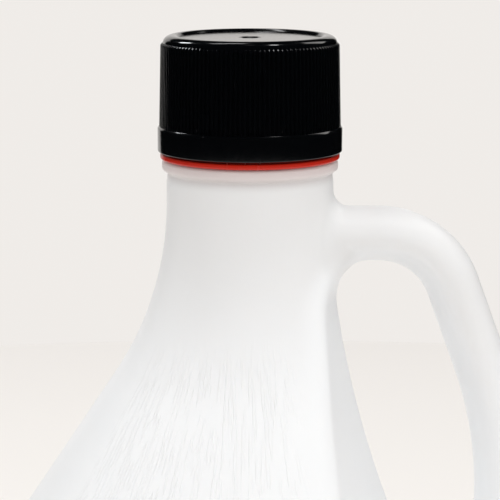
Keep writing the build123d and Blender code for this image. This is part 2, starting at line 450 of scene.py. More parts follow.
@dataclass(frozen=True)
class SkinMaker:
    """Lays a net of nearly square faces over a form.

    Attributes:
        form: Signed distance of points from the form's surface.
        low: Lowest corner of the box that is searched.
        high: Highest corner of that box. The skin is open where it leaves the box's top.
        step: Length of a face's side.
        level: Signed distance at which the skin lies.
        rounds: How many times the net is evened out and laid back on the form.
        pull: Share of the way that a point moves towards its neighbours in a round.
        least_slope: Smallest squared slope that a point's move is worked out with.
    """

    form: Callable[[Array], Array]
    low: Point
    high: Point
    step: float
    level: float = 0.0
    rounds: int = 5
    pull: float = 0.5
    least_slope: float = 0.05

    def gradient(self, points: Array, reach: float = 0.05) -> Array:
        """Gradient of the form's distance at points, taken over a small reach."""
        slopes = []
        for axis in np.eye(3) * reach:
            slopes.append(self.form(points + axis) - self.form(points - axis))
        return np.stack(slopes, axis=-1) / (2 * reach)

    def lay(self, points: Array) -> Array:
        """Moves points along the gradient onto the skin."""
        gap = self.form(points) - self.level
        slope = self.gradient(points)
        size = np.maximum((slope * slope).sum(-1), self.least_slope)
        shift = np.clip(gap / size, -self.step, self.step)
        return points - shift[:, None] * slope

    def make(self) -> Net:
        """Finds the skin's cells, joins their points and evens them out.

        Returns:
            The finished net.
        """
        low, high = np.array(self.low), np.array(self.high)
        count = np.ceil((high - low) / self.step).astype(int)
        low = np.array([low[0], low[1], high[2] - count[2] * self.step])
        axes = [low[i] + np.arange(count[i] + 1) * self.step for i in range(3)]
        slabs = []
        for height in axes[2]:
            x, y = np.meshgrid(axes[0], axes[1], indexing="ij")
            slab = np.stack([x, y, np.full_like(x, height)], axis=-1)
            slabs.append(self.form(slab) < self.level)
        inside = np.stack(slabs, axis=-1)
        filled = sum(
            inside[i : i + count[0], j : j + count[1], k : k + count[2]].astype(int)
            for i in (0, 1)
            for j in (0, 1)
            for k in (0, 1)
        )
        mixed = (filled > 0) & (filled < 8)
        number = np.full(mixed.shape, -1)
        number[mixed] = np.arange(mixed.sum())
        points = low + (np.argwhere(mixed) + 0.5) * self.step
        quads = self.join(inside, number)
        top = number[:, :, -1]
        rim = top[top >= 0]
        return Net(self.even(points, quads, rim), quads, rim)

    @staticmethod
    def join(inside: Array, number: Array) -> Array:
        """Faces across each grid edge that passes through the skin.

        Args:
            inside: True at grid points inside the form.
            number: Point number of each cell, or -1.

        Returns:
            Four point numbers for each face.
        """
        faces = []
        for axis in range(3):
            b, c = (axis + 1) % 3, (axis + 2) % 3
            near = np.take(inside, range(inside.shape[axis] - 1), axis)
            far = np.take(inside, range(1, inside.shape[axis]), axis)
            spot = np.argwhere(near != far)
            within = (spot[:, b] > 0) & (spot[:, c] > 0)
            within &= spot[:, b] < inside.shape[b] - 1
            within &= spot[:, c] < inside.shape[c] - 1
            spot = spot[within]
            shift_b, shift_c = np.eye(3, dtype=int)[b], np.eye(3, dtype=int)[c]
            cells = (spot - shift_b - shift_c, spot - shift_c, spot, spot - shift_b)
            quad = np.stack([number[tuple(cell.T)] for cell in cells], axis=-1)
            flip = ~near[tuple(spot.T)]
            quad[flip] = quad[flip][:, ::-1]
            faces.append(quad)
        return np.vstack(faces)

    def even(self, points: Array, quads: Array, rim: Array) -> Array:
        """Evens out the net and lays it back on the form.

        Args:
            points: The net's points.
            quads: Its faces.
            rim: Numbers of the points that keep their height.

        Returns:
            The moved points.
        """
        a = quads.ravel()
        b = np.roll(quads, -1, axis=1).ravel()
        share = np.bincount(a, minlength=len(points)) + np.bincount(b, minlength=len(points))
        free = np.ones((len(points), 1))
        free[rim] = 0.0
        for _ in range(3):
            points = self.lay(points)
        for _ in range(self.rounds):
            total = np.zeros_like(points)
            np.add.at(total, a, points[b])
            np.add.at(total, b, points[a])
            points = points + free * self.pull * (total / share[:, None] - points)
            points = self.lay(points)
        return self.lay(points)


@dataclass(frozen=True)
class Bottle:
    """The blow-moulded bottle: base, wall, cone, hollow grip and threaded neck.

    Every field is a length or a pair of heights or distances in millimetres, or degrees where its
    name says so. A pair gives where a change starts and ends.
    """

    body_radius: float = 83.0
    wall_top: float = 141.5
    shoulder: float = 30.0
    cone_degrees: float = 33.6
    flare: float = 93.5
    neck_radius: float = 24.0
    neck_waist: float = 23.6
    flare_top: float = 267.59
    heel: float = 8.0
    stand_width: float = 9.0
    hollow_depth: float = 4.0
    hollow_run: float = 10.0
    shell: float = 1.2
    grip_level: float = 257.64
    grip_half: float = 7.75
    grip_side: float = 12.0
    grip_reach: float = 74.1
    arch: float = 22.95
    arch_x: float = 37.27
    slant_degrees: float = 20.0
    slant_run: float = 24.0
    bow: float = 117.0
    root_over: float = 5.0
    root_under: float = 10.0
    slot_wall: float = 300.0
    slot_wall_centre: Pair = (321.90, 281.61)
    slot_foot: float = 10.8
    slot_foot_centre: Pair = (54.65, 171.10)
    slot_foot_degrees: float = 50.0
    slot_corner: float = 11.0
    slot_corner_centre: Pair = (36.08, 238.89)
    slot_draft_degrees: float = 13.0
    slot_lip: float = 8.0
    slot_keel: float = 1.5
    lip_blend: float = 4.0
    root_blend: float = 6.0
    bead_foot: float = 275.89
    bead_rise: float = 0.5
    bead_round: float = 1.4
    bead_under: float = 1.2
    waist_round: float = 0.9
    seat_round: float = 0.3
    bead_radius: float = 25.3
    bead_top: float = 279.59
    finish_radius: float = 21.2
    bore_radius: float = 18.6
    retainer_foot: float = 285.19
    retainer_top: float = 286.99
    retainer_radius: float = 22.5
    retainer_root: float = 0.2
    retainer_round: float = 0.6
    mouth: float = 310.79
    mouth_round: float = 0.7
    bore_round: float = 3.0
    thread_drop: float = 15.0
    thread_turns: float = 2.0
    thread_rows: Pair = (293.0, 308.0)
    row_step: float = 0.45
    seam: float = 273.0
    grain_degrees: float = 56.0
    grain_edge_degrees: float = 2.0
    grain_foot: Pair = (146.0, 160.0)
    grain_top: Pair = (218.0, 236.0)
    grain_off_slot: Pair = (3.0, 12.0)
    grain_off_grip: Pair = (4.0, 14.0)
    neck_shade_heights: Pair = (205.0, 262.0)
    neck_shade_drop: float = 20.0
    neck_shade_off_grip: float = 8.0
    neck_shade_off_slot: Pair = (1.0, 7.0)
    side_margin: float = 2.0
    foot_margin: float = 3.0
    outer_step: float = 1.85
    inner_step: float = 3.5
    neck_segments: int = 160

    @cached_property
    def side(self) -> Outline:
        """Half section of the turned body, from the middle of its base to its neck."""
        stand = self.body_radius - self.heel
        ring = stand - self.stand_width
        shoulder = Bend(
            (self.body_radius - self.shoulder, self.wall_top), self.shoulder, 0, self.cone_degrees
        )
        flare = Bend(
            (self.neck_radius + self.flare, self.flare_top),
            self.flare,
            180,
            180 + self.cone_degrees,
        )
        return Outline(
            (
                Run((0, self.hollow_depth), (ring - self.hollow_run, self.hollow_depth)),
                Run((ring - self.hollow_run, self.hollow_depth), (ring, 0)),
                Run((ring, 0), (stand, 0)),
                Bend((stand, self.heel), self.heel, -90, 0),
                Run((self.body_radius, self.heel), (self.body_radius, self.wall_top)),
                shoulder,
                Run(shoulder.point(self.cone_degrees), flare.point(180 + self.cone_degrees)),
                flare,
                Run((self.neck_radius, self.flare_top), (self.neck_radius, self.mouth)),
            )
        )

    @cached_property
    def grip_line(self) -> Outline:
        """Centre line of the grip: neck, arch, slanting run, bow and upright run."""
        slant = math.radians(self.slant_degrees)
        arch = Bend((self.arch_x, self.grip_level - self.arch), self.arch, self.slant_degrees, 90)
        high = arch.point(self.slant_degrees)
        low = (
            high[0] + self.slant_run * math.sin(slant),
            high[1] - self.slant_run * math.cos(slant),
        )
        bow_level = low[1] - self.bow * math.sin(slant)
        return Outline(
            (
                Run((0, self.grip_level), (self.arch_x, self.grip_level)),
                arch,
                Run(high, low),
                Bend((self.grip_reach - self.bow, bow_level), self.bow, 0, self.slant_degrees),
                Run((self.grip_reach, bow_level), (self.grip_reach, self.wall_top)),
            )
        )

    def reach(self, z: Array) -> Array:
        """Radius of the turned body at each height."""
        cone = math.radians(self.cone_degrees)
        stand, middle = self.body_radius - self.heel, self.body_radius - self.shoulder
        shoulder_top = self.wall_top + self.shoulder * math.sin(cone)
        flare_foot = self.flare_top - self.flare * math.sin(cone)
        heel = stand + np.sqrt(np.maximum(self.heel**2 - (self.heel - z) ** 2, 0))
        shoulder = middle + np.sqrt(np.maximum(self.shoulder**2 - (z - self.wall_top) ** 2, 0))
        slope = middle + self.shoulder * math.cos(cone) - (z - shoulder_top) * math.tan(cone)
        flare = np.sqrt(np.maximum(self.flare**2 - (self.flare_top - z) ** 2, 0))
        flare = self.neck_radius + self.flare - flare
        stops = [self.heel, self.wall_top, shoulder_top, flare_foot, self.flare_top]
        reaches = [heel, np.full_like(z, self.body_radius), shoulder, slope, flare]
        return np.select([z < stop for stop in stops], reaches, self.neck_radius)

    def turned(self, points: Array) -> Array:
        """Signed distance from the turned body, before the grip and the slot."""
        radius, z = np.hypot(points[..., 0], points[..., 1]), points[..., 2]
        ring = self.body_radius - self.heel - self.stand_width
        floor = self.hollow_depth * np.clip((ring - radius) / self.hollow_run, 0, 1)
        gap = self.side.distance(radius, z)
        return np.where((radius < self.reach(z)) & (z > floor), -gap, gap)

    def finger_slot(self, points: Array) -> Array:
        """Signed distance from the slot between the grip and the cone, which opens to both sides.

        Args:
            points: Places in millimetres.

        Returns:
            Signed distances, negative in the slot.
        """
        spot = points[..., [0, 2]]
        wall_centre, foot = np.array(self.slot_wall_centre), np.array(self.slot_foot_centre)
        corner = np.array(self.slot_corner_centre)
        turn = math.radians(self.slot_foot_degrees)
        rise = np.array([math.cos(turn), -math.sin(turn)])
        wall = np.linalg.norm(spot - wall_centre, axis=-1) - self.slot_wall
        sides = np.maximum(wall, (spot - foot) @ rise - self.slot_foot)
        round_foot = np.linalg.norm(spot - foot, axis=-1) - self.slot_foot
        sides = np.where(between(spot - foot, rise, unit(foot - wall_centre)), round_foot, sides)
        up = np.array([0.0, 1.0])
        flat = np.maximum(sides, (spot - corner) @ up - self.slot_corner)
        round_corner = np.linalg.norm(spot - corner, axis=-1) - self.slot_corner
        flat = np.where(between(spot - corner, up, unit(corner - wall_centre)), round_corner, flat)
        draft = math.radians(self.slot_draft_degrees)
        aside = np.hypot(points[..., 1], self.slot_keel) - self.slot_keel
        return flat * math.cos(draft) - aside * math.sin(draft)

    def grip(self, points: Array) -> Array:
        """Signed distance from the oval tube of the grip."""
        off = self.grip_line.distance(points[..., 0], points[..., 2])
        oval = np.stack([off, points[..., 1]], axis=-1) / (self.grip_half, self.grip_side)
        near = np.linalg.norm(oval, axis=-1)
        slope = np.linalg.norm(oval / (self.grip_half, self.grip_side), axis=-1)
        return near * (near - 1.0) / np.maximum(slope, 1e-6)

    def outside(self, points: Array) -> Array:
        """Signed distance from the bottle's outside below its bead.

        Where two forms meet square on, the edge between them gets its full rounding. Where they run
        into each other at a flat angle, it gets less, so that nothing swells there.

        Args:
            points: Places in millimetres.

        Returns:
            Signed distances, negative inside.
        """
        forms = (self.turned, self.finger_slot, self.grip)
        here = [form(points) for form in forms]
        reach = 0.2
        slopes = []
        for form, value in zip(forms, here):
            steps = [form(points + axis) - value for axis in np.eye(3) * reach]
            slopes.append(unit(np.stack(steps, axis=-1)))
        body_way, cut_way, grip_way = slopes[0], -slopes[1], slopes[2]
        turned, cut, grip = here[0], -here[1], here[2]
        square = np.clip(1.0 - (body_way * cut_way).sum(-1), 0.0, 1.0)
        body = meet_round(turned, cut, self.slot_lip * square)
        blend = smooth_step(-self.lip_blend, self.lip_blend, turned - cut)[..., None]
        way = unit(blend * body_way + (1.0 - blend) * cut_way)
        least = 0.12
        square = np.clip(1.0 - (way * grip_way).sum(-1), least, 1.0)
        over = points[..., 2] - self.grip_level
        share = smooth_step(-self.root_blend, self.root_blend, over)
        root = self.root_under + (self.root_over - self.root_under) * share
        joined = join_round(body, grip, root * square)
        radius = np.hypot(points[..., 0], points[..., 1])
        return np.maximum(joined, radius - self.body_radius)

    def finish_path(self) -> Array:
        """Half section of the neck finish, up its outside, over the mouth and down its bore."""
        inner = self.neck_radius - self.shell
        step = inner - self.bore_radius
        return rounded_path(
            [
                (self.neck_radius, self.seam, 0),
                (self.neck_waist, self.bead_foot, self.waist_round),
                (self.bead_radius, self.bead_foot + self.bead_rise, self.bead_under),
                (self.bead_radius, self.bead_top, self.bead_round),
                (self.finish_radius, self.bead_top, self.seat_round),
                (self.finish_radius, self.retainer_foot, self.retainer_root),
                (self.retainer_radius, self.retainer_foot, self.retainer_round),
                (self.retainer_radius, self.retainer_top, self.retainer_round),
                (self.finish_radius, self.retainer_top, self.seat_round),
                (self.finish_radius, self.mouth, self.mouth_round),
                (self.bore_radius, self.mouth, self.mouth_round),
                (self.bore_radius, self.bead_top, self.bore_round),
                (inner, self.bead_top - step, self.bore_round),
                (inner, self.seam, 0),
            ]
        )

    def grain_share(self, points: Array) -> Array:
        """How much of the mould's grain shows at each point of the outside: 1 on the cone.

        Args:
            points: Places in millimetres.

        Returns:
            Shares from 0 to 1.
        """
        z = points[:, 2]
        aside = np.degrees(np.arctan2(np.abs(points[:, 0]), np.abs(points[:, 1])))
        edge, soft = self.grain_degrees, self.grain_edge_degrees
        panel = 1.0 - smooth_step(edge - soft, edge + soft, aside)
        band = smooth_step(*self.grain_foot, z) * (1.0 - smooth_step(*self.grain_top, z)) * panel
        clear = smooth_step(*self.grain_off_slot, self.finger_slot(points))
        return band * clear * smooth_step(*self.grain_off_grip, self.grip(points))

    def neck_shade_share(self, points: Array, ways: Array) -> Array:
        """How much of the neck's painted shade shows at each point of the outside.

        The painted shade stands in for the dark cap inside taking up light. The grip takes it lower
        down than the cone. The slot's wall and the grip's underside and inner side don't take it,
        so they stay lighter, a painted glow of light shining through the plastic.

        Args:
            points: Places in millimetres.
            ways: The outside's directions there.

        Returns:
            Shares from 0 to 1.
        """
        # Painted shade from the neck down; the slot's wall and the grip's underside and inner side
        # are left out as painted glow.
        on_grip = 1.0 - smooth_step(0.0, self.neck_shade_off_grip, self.grip(points))
        off_slot = smooth_step(*self.neck_shade_off_slot, self.finger_slot(points))
        wall = (1.0 - on_grip) * (1.0 - off_slot)
        inwards = -ways[:, 2] - 0.6 * ways[:, 0]
        inner = on_grip * smooth_step(0.1, 0.8, inwards)
        # Painted shade rises with height, and starts lower on the grip.
        tone = smooth_step(*self.neck_shade_heights, points[:, 2] + self.neck_shade_drop * on_grip)
        return tone * (1.0 - wall) * (1.0 - inner)

    def build(self) -> bpy.types.Object:
        """Makes the bottle as one closed shell with its thread.

        Returns:
            The bottle's object, with its shares of grain and of painted neck shade kept as point
            attributes.
        """
        far = self.body_radius + self.side_margin
        draft = MeshDraft()
        rims = []
        low, high = (-far, -far, -self.foot_margin), (far, far, self.seam)
        for step, level in ((self.outer_step, 0.0), (self.inner_step, -self.shell)):
            maker = SkinMaker(self.outside, low, high, step, level)
            net = maker.make()
            number = draft.add(net.points)
            draft.faces.extend(number[net.quads].tolist())
            rims.append(number[net.rim])
            if level == 0.0:
                grain = self.grain_share(net.points)
                tone = self.neck_shade_share(net.points, maker.gradient(net.points))
        thread = Thread(foot=self.mouth - self.thread_drop, turns=self.thread_turns, side=1)
        path = self.finish_path()
        lip = int(np.argmax(path[:, 1]))
        outer = add_rows(path[: lip + 1], *self.thread_rows, self.row_step)
        angle = even_angles(self.neck_segments)
        walls = draft.lathe(outer, angle, thread.relief)
        bore = draft.lathe(path[lip:], angle)
        draft.strip(walls[-1], bore[0])
        draft.zip_rings(rims[0], walls[0])
        draft.zip_rings(rims[1], bore[-1])
        piece = draft.build("bottle")
        # The neck attribute carries the painted neck shade; the grain attribute is the real mould
        # grain.
        for title, values, rest in (("grain", grain, 0.0), ("neck", tone, 1.0)):
            share = np.full(len(piece.data.vertices), rest, np.float32)
            share[: len(values)] = values
            piece.data.attributes.new(title, "FLOAT", "POINT").data.foreach_set("value", share)
        return piece


@dataclass(frozen=True)
class ScrewCap:
    """The ribbed screw cap: band, ribs, rounded rim and recessed panel over a threaded bore.

    Every field is a length in millimetres, degrees where its name says so, or a count, apart from
    these: rib_supports gives the distances of rows from the ribs' foot (two) and top (one) that
    keep the ribs straight. rib_fade gives rows where the ribs run out: how far each lies in from
    a rib's crest and under the ribs' top, and its share of the grooves' depth. half_rib and
    half_cut give places from a rib's middle as shares of the pitch, and how deep the groove is.
    """

    foot: float = 281.85
    foot_round: float = 0.25
    foot_run: float = 0.6
    band_radius: float = 26.5
    band_top: float = 288.39
    band_round: float = 0.35
    ledge: float = 288.99
    ledge_round: float = 0.2
    ledge_run: float = 0.4
    rib_foot_radius: float = 26.0
    rib_top: float = 312.75
    rim_radius: float = 24.85
    crest_radius: float = 21.9
    rib_depth: float = 0.65
    rib_supports: Point = (0.04, 0.4, 0.7)
    rib_fade: tuple[Point, ...] = ((0.06, 0.57, 0.9), (0.30, 0.27, 0.54), (0.61, 0.02, 0.06))
    rib_count: int = 120
    top: float = 314.89
    panel: float = 314.15
    panel_radius: float = 20.4
    panel_run: float = 0.4
    panel_round: float = 0.2
    gate_radius: float = 2.6
    gate_depth: float = 0.4
    gate_lip: float = 0.6
    gate_round: float = 0.3
    nub_radius: float = 1.0
    nub_height: float = 0.1
    nub_taper: float = 0.2
    nub_foot_round: float = 0.1
    nub_round: float = 0.2
    tip: float = 0.05
    inside_top: float = 312.09
    bore: float = 23.0
    bore_round: float = 0.5
    seat: float = 23.4
    seat_run: float = 0.4
    seat_round: float = 0.3
    step_round: float = 0.1
    seat_top: float = 285.19
    thread_foot: float = 293.59
    thread_turns: float = 1.5
    thread_rows: Pair = (291.5, 303.5)
    row_step: float = 0.45
    rim_degrees: float = 110.0
    rim_rows: int = 15
    segments: int = 240
    half_rib: tuple[float, ...] = (0.10, 0.165, 0.215, 0.315, 0.37, 0.45)
    half_cut: tuple[float, ...] = (0.0, 0.06, 0.24, 0.80, 0.95, 1.0)

    def rib_angles(self) -> tuple[Array, Array]:
        """Angles round the ribbed skirt, and how deep the groove is at each, from 0 to 1."""
        places = np.array([-p for p in reversed(self.half_rib)] + list(self.half_rib))
        depths = np.array(list(reversed(self.half_cut)) + list(self.half_cut))
        ribs = np.arange(self.rib_count)[:, None]
        angle = (ribs + places) * 2 * math.pi / self.rib_count
        return angle.ravel(), np.tile(depths, self.rib_count)

    def skirt(self, draft: MeshDraft) -> tuple[Array, Array]:
        """Draws the band, the ribs and the rim.

        Args:
            draft: The mesh to draw in.

        Returns:
            The rings at the foot's inner edge and at the rim's inner edge.
        """
        angle, depth = self.rib_angles()
        crest = self.rim_radius + self.rib_depth
        band = rounded_path(
            [
                (self.seat + self.foot_run, self.foot, 0),
                (self.band_radius, self.foot, self.foot_round),
                (self.band_radius, self.band_top, self.band_round),
                (self.rib_foot_radius, self.ledge, self.ledge_round),
                (self.rib_foot_radius - self.ledge_run, self.ledge + 0.05, 0),
            ]
        )
        shoulder = self.rib_top + 0.02
        rise = np.radians(np.linspace(0.0, self.rim_degrees, self.rim_rows))
        rim = np.stack(
            [
                self.crest_radius + (self.rim_radius - self.crest_radius) * np.cos(rise),
                shoulder + (self.top - shoulder) * np.sin(rise),
            ],
            axis=-1,
        )
        rim = np.vstack([rim, (self.panel_radius + 0.1, self.panel + 0.06)])
        # Each row's radius, height and share of the grooves' full depth
        rows: list[Point] = [(r, z, 0.0) for r, z in band[:-1]]
        lean = (crest - self.rib_foot_radius) / (self.rib_top - self.ledge)
        first, second, last = self.rib_supports
        middle = (self.ledge + self.rib_top) / 2
        for z in (self.ledge + first, self.ledge + second, middle, self.rib_top - last):
            rows.append((self.rib_foot_radius + lean * (z - self.ledge), z, 1.0))
        rows.extend((crest - inset, self.rib_top - drop, cut) for inset, drop, cut in self.rib_fade)
        rows.extend((r, z, 0.0) for r, z in rim)
        rings = [
            draft.ring(r - self.rib_depth * share * depth, np.full_like(angle, z), angle)
            for r, z, share in rows
        ]
        for first, second in zip(rings, rings[1:]):
            draft.strip(first, second)
        return rings[0], rings[-1]

    def panel_path(self) -> Array:
        """Half section of the panel from the rim to its gate mark."""
        floor = self.panel - self.gate_depth
        return rounded_path(
            [
                (self.panel_radius + 0.02, self.panel + 0.03, 0),
                (self.panel_radius - self.panel_run, self.panel, self.panel_round),
                (self.panel_radius - 2 * self.panel_run, self.panel, 0),
                (self.gate_radius + 1.5 * self.gate_lip, self.panel, 0),
                (self.gate_radius + self.gate_lip, self.panel, 0),
                (self.gate_radius - self.gate_depth, floor, self.gate_round),
                (self.nub_radius, floor, self.nub_foot_round),
                (self.nub_radius - self.nub_taper, self.panel + self.nub_height, self.nub_round),
                (self.tip, self.panel + self.nub_height, 0),
            ]
        )

    def build(self) -> bpy.types.Object:
        """Makes the cap as one closed shell.

        Returns:
            The cap's object.
        """
        draft = MeshDraft()
        foot, rim = self.skirt(draft)
        angle = even_angles(self.segments)
        panel = draft.lathe(self.panel_path(), angle)
        draft.zip_rings(rim, panel[0])
        draft.close(panel[-1], self.panel + self.nub_height)
        path = rounded_path(
            [
                (self.seat + self.seat_run, self.foot, 0),
                (self.seat, self.foot, self.seat_round),
                (self.seat, self.seat_top, self.step_round),
                (self.bore, self.seat_top, self.step_round),
                (self.bore, self.inside_top, self.bore_round),
                (self.bore / 2, self.inside_top, 0),
                (self.tip, self.inside_top, 0),
            ]
        )
        thread = Thread(
            foot=self.thread_foot,
            turns=self.thread_turns,
            side=-1,
            low=self.seat_top + 0.5,
            high=self.inside_top - 1.0,
        )
        path = add_rows(path, *self.thread_rows, self.row_step)
        inside = draft.lathe(path, angle, thread.relief)
        draft.zip_rings(foot, inside[0])
        draft.close(inside[-1], self.inside_top)
        return draft.build("screw_cap", crease=50.0)


class Wiring:
    """Adds and joins the nodes of one node tree."""

    def __init__(self, tree: bpy.types.NodeTree) -> None:
        """Keeps the tree to wire."""
        self.tree = tree

    def node(self, kind: str, **settings: object) -> bpy.types.Node:
        """Adds a node.

        Args:
            kind: The node's type.
            settings: Attributes to set on it.

        Returns:
            The new node.
        """
        made = self.tree.nodes.new(kind)
        for name, value in settings.items():
            setattr(made, name, value)
        return made

    def feed(self, value: Value, target: Socket) -> None:
        """Joins a socket to another, or sets a plain number on it."""
        if isinstance(value, bpy.types.NodeSocket):
            self.tree.links.new(value, target)
        else:
            target.default_value = value

    def math(self, operation: str, *values: Value, clamp: bool = False) -> Socket:
        """A Math node.

        Args:
            operation: Its operation.
            values: Its inputs, as sockets or numbers.
            clamp: Whether the result stays from 0 to 1.

        Returns:
            Its output.
        """
        made = self.node("ShaderNodeMath", operation=operation, use_clamp=clamp)
        for value, target in zip(values, made.inputs):
            self.feed(value, target)
        return made.outputs[0]

    def spread(
        self, value: Value, low: float, high: float, to_low: float, to_high: float
    ) -> Socket:
        """Maps a value smoothly from one range to another.

        Args:
            value: The value to map.
            low: Where the range starts.
            high: Where the range ends.
            to_low: Result at low.
            to_high: Result at high.

        Returns:
            The mapped value.
        """
        made = self.node("ShaderNodeMapRange", interpolation_type="SMOOTHSTEP")
        for number, target in zip((value, low, high, to_low, to_high), made.inputs):
            self.feed(number, target)
        return made.outputs[0]

    def noise(self, vector: Socket, scale: Value, detail: float = 2.0) -> Socket:
        """A noise texture's value at a scale."""
        made = self.node("ShaderNodeTexNoise")
        self.feed(vector, made.inputs["Vector"])
        self.feed(scale, made.inputs["Scale"])
        made.inputs["Detail"].default_value = detail
        return made.outputs["Fac"]

    def mix(self, share: Value, first: Paint, second: Paint) -> Socket:
        """Mixes two colours.

        Args:
            share: How much of the second colour shows.
            first: The first colour.
            second: The second colour.

        Returns:
            The mixed colour.
        """
        made = self.node("ShaderNodeMix", data_type="RGBA")
        self.feed(share, made.inputs[0])
        for value, target in ((first, made.inputs[6]), (second, made.inputs[7])):
            self.feed((*value, 1.0) if isinstance(value, tuple) else value, target)
        return made.outputs[2]

    def place(self) -> Socket:
        """The object's own coordinates."""
        return self.node("ShaderNodeTexCoord").outputs["Object"]

    def bump(self, height: Socket, depth: float, below: Optional[Socket] = None) -> Socket:
        """A bump over a normal.

        Args:
            height: Height map, from 0 to 1.
            depth: Depth of the full height in metres.
            below: Normal to add to, or None.

        Returns:
            The new normal.
        """
        made = self.node("ShaderNodeBump")
        made.inputs["Distance"].default_value = depth
        self.feed(height, made.inputs["Height"])
        if below is not None:
            self.feed(below, made.inputs["Normal"])
        return made.outputs["Normal"]


class Effect:
    """Base of the shared surface effects, each a shader node group that is built once."""

    name = "effect"
    takes: dict[str, float] = {}
    gives: tuple[str, ...] = ()

    @classmethod
    def group(cls) -> bpy.types.NodeTree:
        """The effect's node group, built on first use."""
        found = bpy.data.node_groups.get(cls.name)
        if found:
            return found
        tree = bpy.data.node_groups.new(cls.name, "ShaderNodeTree")
        for title, start in cls.takes.items():
            made = tree.interface.new_socket(title, in_out="INPUT", socket_type="NodeSocketFloat")
            made.default_value = start
        for title in cls.gives:
            tree.interface.new_socket(title, in_out="OUTPUT", socket_type="NodeSocketFloat")
        wiring = Wiring(tree)
        source = wiring.node("NodeGroupInput").outputs
        target = wiring.node("NodeGroupOutput").inputs
        for title, value in cls.draw(wiring, source).items():
            wiring.feed(value, target[title])
        return tree

    @classmethod
    def draw(cls, wiring: Wiring, given: bpy.types.NodeOutputs) -> dict[str, Socket]:
        """Wires the effect and returns its outputs by name."""
        raise NotImplementedError

    @classmethod
    def use(cls, wiring: Wiring, **values: float) -> bpy.types.NodeOutputs:
        """Places the effect in a material.

        Args:
            wiring: The material's wiring.
            values: Inputs that differ from the defaults.

        Returns:
            The group's outputs.
        """
        made = wiring.node("ShaderNodeGroup", node_tree=cls.group())
        for title, value in values.items():
            made.inputs[title].default_value = value
        return made.outputs


class MouldSkin(Effect):
    """The faint unevenness that a mould and shrinking plastic leave on any moulded skin."""

    name = "mould_skin"
    takes = {"Peel": 900.0, "Flow": 22.0}
    gives = ("Height", "Tone", "Gloss")

    @classmethod
    def draw(cls, wiring: Wiring, given: bpy.types.NodeOutputs) -> dict[str, Socket]:
        """Fine peel for the height, and slow flow clouds for tone and gloss."""
        place = wiring.place()
        peel = wiring.noise(place, given["Peel"], 3.0)
        flow = wiring.noise(place, given["Flow"], 2.0)
        gloss = wiring.math("MULTIPLY_ADD", peel, 0.4, wiring.math("MULTIPLY", flow, 0.6))
        return {"Height": peel, "Tone": flow, "Gloss": gloss}


class Handling(Effect):
    """Hair scratches and dust specks from handling and shelf life."""

    name = "handling"
    takes = {"Scratch": 160.0, "Speck": 420.0}
    gives = ("Scratches", "Dust")

    @classmethod
    def draw(cls, wiring: Wiring, given: bpy.types.NodeOutputs) -> dict[str, Socket]:
        """Stretched noise cut to hair lines, and sparse small specks."""
        place = wiring.place()
        turn = wiring.node("ShaderNodeMapping")
        turn.inputs["Rotation"].default_value = (0.6, 0.4, 0.9)
        turn.inputs["Scale"].default_value = (1.0, 0.06, 0.3)
        wiring.feed(place, turn.inputs["Vector"])
        lines = wiring.noise(turn.outputs[0], given["Scratch"], 4.0)
        off_middle = wiring.math("ABSOLUTE", wiring.math("SUBTRACT", lines, 0.5))
        hair = wiring.spread(off_middle, 0.0, 0.012, 1.0, 0.0)
        patch = wiring.spread(wiring.noise(place, 38.0, 1.0), 0.5, 0.68, 0.0, 1.0)
        cells = wiring.node("ShaderNodeTexVoronoi", feature="F1")
        wiring.feed(place, cells.inputs["Vector"])
        wiring.feed(given["Speck"], cells.inputs["Scale"])
        few = wiring.spread(wiring.noise(place, 240.0, 0.0), 0.62, 0.7, 0.0, 1.0)
        speck = wiring.spread(cells.outputs["Distance"], 0.03, 0.09, 1.0, 0.0)
        return {
            "Scratches": wiring.math("MULTIPLY", hair, patch),
            "Dust": wiring.math("MULTIPLY", speck, few),
        }


class MouldGrain(Effect):
    """Fine strokes along the cone's slope, as of brushed wood, cut into the mould."""

    name = "mould_grain"
    takes = {"Round": 0.055, "Stretch": 0.10, "Pitch": 1050.0}
    gives = ("Height",)

    @classmethod
    def draw(cls, wiring: Wiring, given: bpy.types.NodeOutputs) -> dict[str, Socket]:
        """Noise wrapped round the axis and stretched along the slope, cut to thin strokes."""
        parts = wiring.node("ShaderNodeSeparateXYZ")
        wiring.feed(wiring.place(), parts.inputs[0])
        flat = wiring.node("ShaderNodeCombineXYZ")
        wiring.feed(parts.outputs[0], flat.inputs[0])
        wiring.feed(parts.outputs[1], flat.inputs[1])
        way = wiring.node("ShaderNodeVectorMath", operation="NORMALIZE")
        wiring.feed(flat.outputs[0], way.inputs[0])
        wrap = wiring.node("ShaderNodeVectorMath", operation="SCALE")
        wiring.feed(way.outputs[0], wrap.inputs[0])
        wiring.feed(given["Round"], wrap.inputs["Scale"])
        rise = wiring.node("ShaderNodeCombineXYZ")
        wiring.feed(wiring.math("MULTIPLY", parts.outputs[2], given["Stretch"]), rise.inputs[2])
        spot = wiring.node("ShaderNodeVectorMath", operation="ADD")
        wiring.feed(wrap.outputs[0], spot.inputs[0])
        wiring.feed(rise.outputs[0], spot.inputs[1])
        strokes = wiring.noise(spot.outputs[0], given["Pitch"], 1.0)
        return {"Height": wiring.spread(strokes, 0.50, 0.64, 0.0, 1.0)}


@dataclass(frozen=True)
class Finish:
    """Base of the finishes, each one material.

    Attributes:
        name: The material's name.
    """

    name: str

    def material(self) -> bpy.types.Material:
        """Makes the material with a Principled shader and lets the finish wire it.

        Returns:
            The finished material.
        """
        made = bpy.data.materials.new(self.name)
        made.use_nodes = True
        shader = made.node_tree.nodes["Principled BSDF"]
        self.wire(Wiring(made.node_tree), shader.inputs)
        return made

    def wire(self, wiring: Wiring, shader: bpy.types.NodeInputs) -> None:
        """Wires the finish into the shader's inputs."""
        raise NotImplementedError

    def dress(self, piece: bpy.types.Object) -> None:
        """Gives a piece this finish alone."""
        piece.data.materials.clear()
        piece.data.materials.append(self.material())


